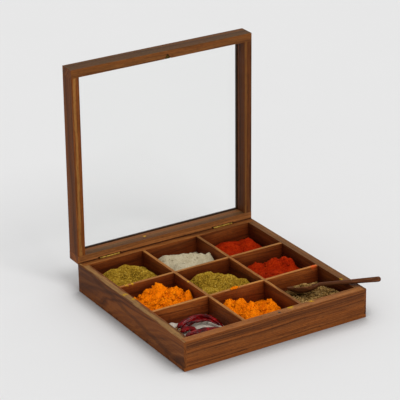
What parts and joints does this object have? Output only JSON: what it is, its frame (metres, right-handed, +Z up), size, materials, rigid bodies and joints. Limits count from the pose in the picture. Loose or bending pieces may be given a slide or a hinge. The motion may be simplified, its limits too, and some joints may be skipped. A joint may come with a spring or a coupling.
{
  "type": "spice box",
  "caption": "Square wooden spice box: a grid of filled cells under a hinged, glazed lid, with brass butt hinges, a magnetic catch and a small wooden spoon.",
  "frame": {"origin": "middle of the underside of the base board, which is the face the box rests on", "axes": "+Z up; +Y from the front wall to the hinges; +X to the right, seen from the front"},
  "size_m": [0.2474, 0.2536, 0.2634],
  "materials": {
    "oiled_wood": "satin",
    "dark_bead_wood": "matte",
    "spoon_wood": "satin",
    "glass": "polished",
    "brass": "satin",
    "dark_steel": "satin",
    "coriander": "matte",
    "salt": "matte",
    "chilli_powder": "matte",
    "turmeric": "matte",
    "cumin": "matte",
    "dried_chilli": "gloss"
  },
  "bodies": {
    "box": {"base_board": "oiled_wood", "front_wall": "oiled_wood", "back_wall": "oiled_wood", "left_wall": "oiled_wood", "right_wall": "oiled_wood", "front_row_divider": "oiled_wood", "back_row_divider": "oiled_wood", "left_column_divider": "oiled_wood", "right_column_divider": "oiled_wood", "left_hinge_lower_leaf": "brass", "left_hinge_pin": "brass", "right_hinge_lower_leaf": "brass", "right_hinge_pin": "brass", "lower_hinge_screws": "brass", "catch_magnet": "dark_steel", "coriander_back_left": "coriander", "salt_back_middle": "salt", "chilli_powder_back_right": "chilli_powder", "turmeric_middle_left": "turmeric", "coriander_middle": "coriander", "chilli_powder_middle_right": "chilli_powder", "salt_front_left": "salt", "dried_chillies": "dried_chilli", "turmeric_front_middle": "turmeric", "cumin_front_right": "cumin"},
    "lid": {"lid_front_rail": "oiled_wood", "lid_back_rail": "oiled_wood", "lid_left_stile": "oiled_wood", "lid_right_stile": "oiled_wood", "lid_glass": "glass", "lid_front_bead": "dark_bead_wood", "lid_back_bead": "dark_bead_wood", "lid_left_bead": "dark_bead_wood", "lid_right_bead": "dark_bead_wood", "left_hinge_upper_leaf": "brass", "right_hinge_upper_leaf": "brass", "upper_hinge_screws": "brass", "catch_plate": "brass"},
    "spoon": {"spoon": "spoon_wood"}
  },
  "joints": [
    {"name": "lid_hinge", "type": "hinge", "parent": "box", "child": "lid", "pos_m": [0, 0.114, 0.0341], "axis": [1, 0, 0], "range_deg": [0, 89]},
    {"name": "spoon_lift", "type": "slide", "parent": "box", "child": "spoon", "axis": [0.9063, 0, 0.4226], "range_m": [0, 0.1]}
  ],
  "couplings": [
    {"joint": "spoon_lift", "follows": "lid_hinge", "m_per_rad": 0.064}
  ]
}
